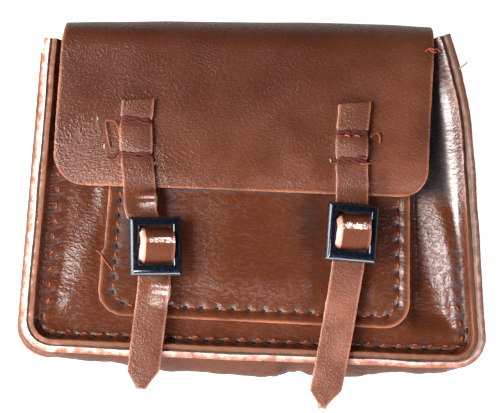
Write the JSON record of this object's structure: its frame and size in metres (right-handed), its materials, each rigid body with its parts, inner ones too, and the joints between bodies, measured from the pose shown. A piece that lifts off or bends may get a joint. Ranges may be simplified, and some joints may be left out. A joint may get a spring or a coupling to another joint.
{
  "type": "satchel",
  "caption": "Small soft leather satchel lying on its back, with a front flap, a patch pocket and two straps threaded through bar buckles.",
  "frame": {"origin": "on the flat outer face of the back panel, half way up the body and midway between its sides; the bag lies on this face", "axes": "+Z out of the front, +Y towards the flap's fold at the top of the bag, +X to the right seen from the front"},
  "size_m": [0.0886, 0.0742, 0.0274],
  "materials": {
    "flap_leather": "mid brown grained coated leather, satin",
    "body_leather": "mid brown grained coated leather, satin, pale raw edges",
    "strap_leather": "mid brown grained coated leather, satin, pale raw edges",
    "buckle": "glossy black with a blue cast"
  },
  "bodies": {
    "root": {"back_and_flap": "flap_leather", "gusset": "body_leather", "front_panel": "body_leather", "front_pocket": "body_leather", "strap_left": "strap_leather", "strap_right": "strap_leather", "buckle_left": "buckle", "buckle_right": "buckle", "buckle_tab_left": "strap_leather", "buckle_tab_right": "strap_leather"}
  },
  "joints": []
}
